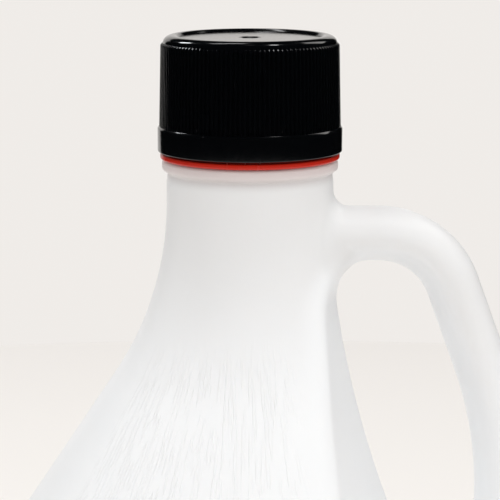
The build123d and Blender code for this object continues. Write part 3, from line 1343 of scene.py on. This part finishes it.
@dataclass(frozen=True)
class NaturalPlastic(Finish):
    """Milky natural polyethylene: waxy, letting some light in, with grain on the cone.

    Its colour also holds painted shade at the neck and painted red bounce light round the ring.

    Attributes:
        milky: Its main colour.
        cloud: Its colour where the melt flowed thinner.
        neck: Its colour at the neck, painted shade for the dark cap inside taking up light.
        red_bounce_shade: Its colour round the red ring: painted shade and red light shining
            through.
        red_bounce_foot: Heights in metres between which the painted bounce comes in.
        red_bounce_top: Heights in metres between which it goes.
        gloss: Lowest roughness, and how much more there is where the skin is dull.
        depth: Share of light that goes in, and how far in metres.
        relief: Depths in metres of the peel, the grain and the parting line.
        line: Distances in metres from the parting plane between which its line fades.
    """

    name: str = "natural_polyethylene"
    milky: Colour = (0.90, 0.907, 0.914)
    cloud: Colour = (0.88, 0.888, 0.896)
    neck: Colour = (0.785, 0.782, 0.78)
    red_bounce_shade: Colour = (0.62, 0.54, 0.53)
    red_bounce_foot: Pair = (0.2725, 0.2790)
    red_bounce_top: Pair = (0.2810, 0.2870)
    gloss: Pair = (0.36, 0.10)
    depth: Pair = (0.35, 0.003)
    relief: Point = (0.00002, 0.00012, 0.00008)
    line: Pair = (0.0001, 0.0005)

    def wire(self, wiring: Wiring, shader: bpy.types.NodeInputs) -> None:
        """Slow tone clouds, painted neck shade and red bounce, waxy gloss, mould peel, grain and
        the parting line.
        """
        skin = MouldSkin.use(wiring, Peel=650.0, Flow=14.0)
        marks = Handling.use(wiring, Scratch=120.0)
        grain = MouldGrain.use(wiring)
        share = wiring.node("ShaderNodeAttribute", attribute_name="grain").outputs["Fac"]
        parts = wiring.node("ShaderNodeSeparateXYZ")
        wiring.feed(wiring.place(), parts.inputs[0])
        rise = parts.outputs[2]
        tone = wiring.spread(skin["Tone"], 0.35, 0.65, 0.0, 1.0)
        colour = wiring.mix(tone, self.milky, self.cloud)
        # Painted shade at the neck, read from the bottle's neck attribute.
        painted_neck_shade = wiring.node("ShaderNodeAttribute", attribute_name="neck").outputs["Fac"]
        colour = wiring.mix(painted_neck_shade, colour, self.neck)
        # Painted red bounce light and shade just round the red ring.
        under_ring = wiring.spread(rise, *self.red_bounce_foot, 0.0, 1.0)
        over_ring = wiring.spread(rise, *self.red_bounce_top, 1.0, 0.0)
        red_bounce_share = wiring.math("MULTIPLY", under_ring, over_ring)
        colour = wiring.mix(red_bounce_share, colour, self.red_bounce_shade)
        wiring.feed(colour, shader["Base Color"])
        gloss = wiring.math("MULTIPLY_ADD", skin["Gloss"], self.gloss[1], self.gloss[0])
        gloss = wiring.math("MULTIPLY_ADD", marks["Scratches"], 0.08, gloss)
        wiring.feed(wiring.math("MULTIPLY_ADD", share, 0.10, gloss), shader["Roughness"])
        shader["IOR"].default_value = 1.5
        shader["Subsurface Weight"].default_value = self.depth[0]
        shader["Subsurface Radius"].default_value = (1.0, 0.95, 0.9)
        shader["Subsurface Scale"].default_value = self.depth[1]
        peel_depth, grain_depth, line_depth = self.relief
        normal = wiring.bump(skin["Height"], peel_depth)
        strokes = wiring.math("MULTIPLY", grain["Height"], share)
        normal = wiring.bump(strokes, grain_depth, normal)
        aside = wiring.math("ABSOLUTE", parts.outputs[1])
        line = wiring.spread(aside, *self.line, 1.0, 0.0)
        wiring.feed(wiring.bump(line, line_depth, normal), shader["Normal"])


@dataclass(frozen=True)
class ColouredPlastic(Finish):
    """Injection-moulded plastic of one colour.

    Attributes:
        colour: Its main colour.
        worn: Colour where it is scuffed.
        gloss: Lowest and highest roughness.
        peel: Mould peel to the metre.
        depth: Depth of the peel in metres.
        dust: How strongly dust shows.
        dust_colour: Its colour.
    """

    colour: Colour = (0.5, 0.5, 0.5)
    worn: Colour = (0.55, 0.55, 0.55)
    gloss: Pair = (0.25, 0.35)
    peel: float = 1100.0
    depth: float = 0.000015
    dust: float = 0.5
    dust_colour: Colour = (0.6, 0.58, 0.55)

    def wire(self, wiring: Wiring, shader: bpy.types.NodeInputs) -> None:
        """Colour with scuffs and dust, uneven gloss and a fine peel."""
        skin = MouldSkin.use(wiring, Peel=self.peel)
        marks = Handling.use(wiring)
        scuffs = wiring.math("MULTIPLY", marks["Scratches"], 0.3)
        scuffed = wiring.mix(scuffs, self.colour, self.worn)
        dusty = wiring.math("MULTIPLY", marks["Dust"], self.dust)
        wiring.feed(wiring.mix(dusty, scuffed, self.dust_colour), shader["Base Color"])
        low, high = self.gloss
        gloss = wiring.spread(skin["Gloss"], 0.3, 0.7, low, high)
        gloss = wiring.math("MULTIPLY_ADD", marks["Scratches"], 0.05, gloss)
        wiring.feed(wiring.math("MULTIPLY_ADD", dusty, 0.4, gloss), shader["Roughness"])
        shader["IOR"].default_value = 1.5
        wiring.feed(wiring.bump(skin["Height"], self.depth), shader["Normal"])


@dataclass(frozen=True)
class WadFoam(Finish):
    """Closed-cell foam of the sealing wad.

    Attributes:
        skin: Colour of the cells' skins.
        pit: Colour between the cells.
    """

    name: str = "wad_foam"
    skin: Colour = (0.88, 0.88, 0.86)
    pit: Colour = (0.70, 0.70, 0.68)

    def wire(self, wiring: Wiring, shader: bpy.types.NodeInputs) -> None:
        """Small closed cells in colour and bump."""
        cells = wiring.node("ShaderNodeTexVoronoi", feature="SMOOTH_F1")
        wiring.feed(wiring.place(), cells.inputs["Vector"])
        cells.inputs["Scale"].default_value = 2200.0
        depth = cells.outputs["Distance"]
        tone = wiring.spread(depth, 0.2, 0.7, 0.0, 1.0)
        wiring.feed(wiring.mix(tone, self.skin, self.pit), shader["Base Color"])
        wiring.feed(wiring.spread(depth, 0.0, 0.8, 0.62, 0.8), shader["Roughness"])
        wiring.feed(wiring.bump(depth, 0.0001), shader["Normal"])


@dataclass(frozen=True)
class PaleFloor(Finish):
    """The plain pale table top.

    Attributes:
        light: Its lighter tone.
        dark: Its darker tone.
    """

    name: str = "pale_floor"
    light: Colour = (0.86, 0.83, 0.80)
    dark: Colour = (0.84, 0.81, 0.78)

    def wire(self, wiring: Wiring, shader: bpy.types.NodeInputs) -> None:
        """Two close tones in slow clouds."""
        cloud = wiring.noise(wiring.place(), 3.0, 2.0)
        wiring.feed(wiring.mix(cloud, self.light, self.dark), shader["Base Color"])
        shader["Roughness"].default_value = 0.6


@dataclass(frozen=True)
class TentCloth(Finish):
    """Black cloth of the studio's dark tent.

    Attributes:
        weave: Its lighter tone.
        fold: Its darker tone.
    """

    name: str = "tent_cloth"
    weave: Colour = (0.006, 0.006, 0.006)
    fold: Colour = (0.003, 0.003, 0.003)

    def wire(self, wiring: Wiring, shader: bpy.types.NodeInputs) -> None:
        """Two dark tones in folds, with no gloss."""
        cloud = wiring.noise(wiring.place(), 2.0, 2.0)
        wiring.feed(wiring.mix(cloud, self.weave, self.fold), shader["Base Color"])
        shader["Roughness"].default_value = 1.0
        shader["Specular IOR Level"].default_value = 0.0


@dataclass(frozen=True)
class Lamp:
    """A soft rectangular lamp.

    Attributes:
        name: Its name.
        spot: Its place in metres.
        aim: The point it faces.
        size: Its width and height in metres.
        power: Its power in watts.
        colour: Its colour.
        glint: Whether it shows in reflections.
    """

    name: str
    spot: Point
    aim: Point
    size: Pair
    power: float
    colour: Colour = (1.0, 1.0, 1.0)
    glint: bool = True


@dataclass(frozen=True)
class Studio:
    """Camera, floor, background and lamps.

    Attributes:
        frame_pixels: Width of the photograph's frame in pixels.
        focal: Focal length in pixels of that frame.
        pitch_degrees: How far the camera looks down.
        camera_back: Distance of the camera in front of the jug's axis, in metres.
        camera_up: Height of the camera in metres.
        floor_radius: Radius of the round floor in metres.
        backdrop: Background colour.
        ambient: Colour of the soft light from all round.
        ambient_level: Strength of that light.
        tent_radius: Radius of the dark tent in metres.
        tent_level: Height of its middle in metres.
        tent_foot_degrees: How far it reaches under its middle.
        tent_top_degrees: How far it reaches over its middle.
        tent_open_degrees: Width of the tent's opening behind the jug.
        tent_lintel_degrees: How high the opening reaches over the horizon.
        tent_turn_degrees: How far the opening's middle lies to the left.
        lamps: The lamps.
    """

    frame_pixels: float = 500.0
    focal: float = 2200.0
    pitch_degrees: float = 10.5
    camera_back: float = 0.6265
    camera_up: float = 0.3687
    floor_radius: float = 0.99
    backdrop: Colour = (0.87, 0.84, 0.81)
    ambient: Colour = (1.0, 0.99, 0.98)
    ambient_level: float = 0.74
    tent_radius: float = 1.9
    tent_level: float = 0.3
    tent_foot_degrees: float = -35.0
    tent_top_degrees: float = 87.0
    tent_open_degrees: float = 48.0
    tent_lintel_degrees: float = 21.0
    tent_turn_degrees: float = 8.0
    lamps: tuple[Lamp, ...] = (
        Lamp("front", (0.06, -0.70, 1.50), (0.0, 0.0, 0.2), (0.8, 0.8), 7.0, glint=False),
        Lamp("right_fill", (1.05, -0.78, 0.55), (0.0, 0.0, 0.2), (0.5, 0.5), 2.5, glint=False),
        Lamp("left_fill", (-1.30, -0.25, 0.55), (0.0, 0.0, 0.2), (0.5, 0.5), 1.1, glint=False),
        Lamp("left", (-0.86, 0.74, 1.27), (0.0, 0.0, 0.3), (0.22, 0.30), 3.5, (0.95, 0.98, 1.0)),
        Lamp("right", (0.86, 0.78, 1.25), (0.0, 0.0, 0.3), (0.50, 0.60), 2.0, (1.0, 0.98, 0.95)),
        Lamp("top", (0.40, 0.0, 1.63), (0.0, 0.0, 0.3), (0.16, 0.16), 1.5),
        Lamp("strip", (-0.28, 0.60, 1.62), (0.0, 0.0, 0.3), (0.50, 0.12), 1.2),
    )

    def camera(self) -> None:
        """Sets the camera at the photograph's viewing angle."""
        data = bpy.data.cameras.new("camera")
        data.sensor_width = 36.0
        data.lens = self.focal / self.frame_pixels * data.sensor_width
        data.clip_start, data.clip_end = 0.02, 50.0
        camera = bpy.data.objects.new("camera", data)
        camera.location = (0.0, -self.camera_back, self.camera_up)
        camera.rotation_euler = (math.radians(90.0 - self.pitch_degrees), 0.0, 0.0)
        bpy.context.scene.collection.objects.link(camera)
        bpy.context.scene.camera = camera

    def floor(self) -> None:
        """Lays the round pale floor."""
        draft = MeshDraft()
        rim, sides = self.floor_radius / MM, 180
        angle = even_angles(sides)
        path = np.array([[rim, 0.0], [rim * 0.3, 0.0], [rim * 0.04, 0.0]])
        rings = draft.lathe(path, angle)
        draft.close(rings[-1], 0.0)
        floor = draft.build("floor")
        PaleFloor().dress(floor)

    def world(self) -> None:
        """Pale background for the eye and for reflections, and a softer light for the rest."""
        world = bpy.data.worlds.new("studio")
        world.use_nodes = True
        bpy.context.scene.world = world
        wiring = Wiring(world.node_tree)
        shade = world.node_tree.nodes["Background"]
        path = wiring.node("ShaderNodeLightPath").outputs
        seen = wiring.math("MAXIMUM", path["Is Camera Ray"], path["Is Glossy Ray"])
        seen = wiring.math("MAXIMUM", seen, path["Is Transmission Ray"])
        level = tuple(self.ambient_level * part for part in self.ambient)
        wiring.feed(wiring.mix(seen, level, self.backdrop), shade.inputs["Color"])
        shade.inputs["Strength"].default_value = 1.0

    @staticmethod
    def lamp(lamp: Lamp) -> None:
        """Hangs a soft rectangular lamp that the camera doesn't see."""
        data = bpy.data.lights.new(lamp.name, "AREA")
        data.shape = "RECTANGLE"
        data.size, data.size_y = lamp.size
        data.energy = lamp.power
        data.color = lamp.colour
        made = bpy.data.objects.new(lamp.name, data)
        made.location = lamp.spot
        way = Vector(lamp.aim) - Vector(lamp.spot)
        made.rotation_euler = way.to_track_quat("-Z", "Y").to_euler()
        made.visible_camera = False
        made.visible_glossy = lamp.glint
        bpy.context.scene.collection.objects.link(made)

    def dark_tent(self) -> None:
        """Stands up a dark tent, seen only in reflections, so that black stays black."""
        draft = MeshDraft()
        front = math.radians(self.tent_turn_degrees - 90.0)
        open_half = math.radians(self.tent_open_degrees / 2)
        reach = self.tent_radius / MM
        foot, lintel, top = np.radians(
            (self.tent_foot_degrees, self.tent_lintel_degrees, self.tent_top_degrees)
        )
        columns, levels = 49, 8
        for first, last, gap in ((foot, lintel, open_half), (lintel, top, 0.0)):
            angle = np.linspace(front - math.pi + gap, front + math.pi - gap, columns)
            rows = []
            for tilt in np.linspace(first, last, levels):
                height = np.full_like(angle, reach * math.sin(tilt) + self.tent_level / MM)
                radius = np.full_like(angle, reach * math.cos(tilt))
                rows.append(draft.ring(radius, height, angle))
            for low, high in zip(rows, rows[1:]):
                quads = np.stack([low[:-1], low[1:], high[1:], high[:-1]], axis=-1)
                draft.faces.extend(quads.tolist())
        tent = draft.build("dark_tent")
        TentCloth().dress(tent)
        tent.visible_camera = tent.visible_diffuse = tent.visible_shadow = False
        tent.visible_transmission = tent.visible_volume_scatter = False

    def build(self) -> None:
        """Sets up the whole studio."""
        self.camera()
        self.floor()
        self.world()
        self.dark_tent()
        for lamp in self.lamps:
            self.lamp(lamp)
        bpy.context.scene.view_settings.view_transform = "Standard"


@dataclass(frozen=True)
class Jug:
    """The whole jug: bottle with its neck ring, wad and screw cap."""

    bottle: Bottle = Bottle()
    cap: ScrewCap = ScrewCap()
    natural: NaturalPlastic = NaturalPlastic()
    black: ColouredPlastic = ColouredPlastic(
        name="black_polypropylene",
        colour=(0.0010, 0.0013, 0.0018),
        worn=(0.003, 0.003, 0.0035),
        gloss=(0.09, 0.15),
        depth=0.000004,
        dust=0.12,
    )
    red: ColouredPlastic = ColouredPlastic(
        name="red_polyethylene",
        colour=(0.47, 0.013, 0.003),
        worn=(0.475, 0.016, 0.005),
        gloss=(0.20, 0.28),
        depth=0.000005,
        dust=0.05,
    )
    foam: WadFoam = WadFoam()

    def build(self) -> None:
        """Makes the bottle and the cap and puts them on their bodies, and dresses them and the ring
        and wad.
        """
        bottle = self.bottle.build()
        self.natural.dress(bottle)
        self.place(bottle, Body.JUG, Slot.NATURAL, "jug")
        cap = self.cap.build()
        self.black.dress(cap)
        self.place(cap, Body.CAP, Slot.BLACK, "cap")
        for node, finish in (("tamper_ring", self.red), ("wad", self.foam)):
            finish.dress(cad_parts[node])
            LOG.info("dressed %s with %s", node, finish.name)

    @staticmethod
    def place(piece: bpy.types.Object, body: Body, slot: Slot, node: str) -> None:
        """Rides a piece on its body in place of a node.

        Args:
            piece: The new piece.
            body: The body that carries it.
            slot: Its material slot, not used.
            node: The node that it stands for.
        """
        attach(piece, body.value)
        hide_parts(node)
        LOG.info("built %s with %d faces for %s", piece.name, len(piece.data.polygons), node)


def main() -> None:
    """Builds the jug and its studio."""
    logging.basicConfig(level=logging.INFO, format="%(name)s: %(message)s")
    Jug().build()
    Studio().build()


if __name__ == "__main__":
    main()
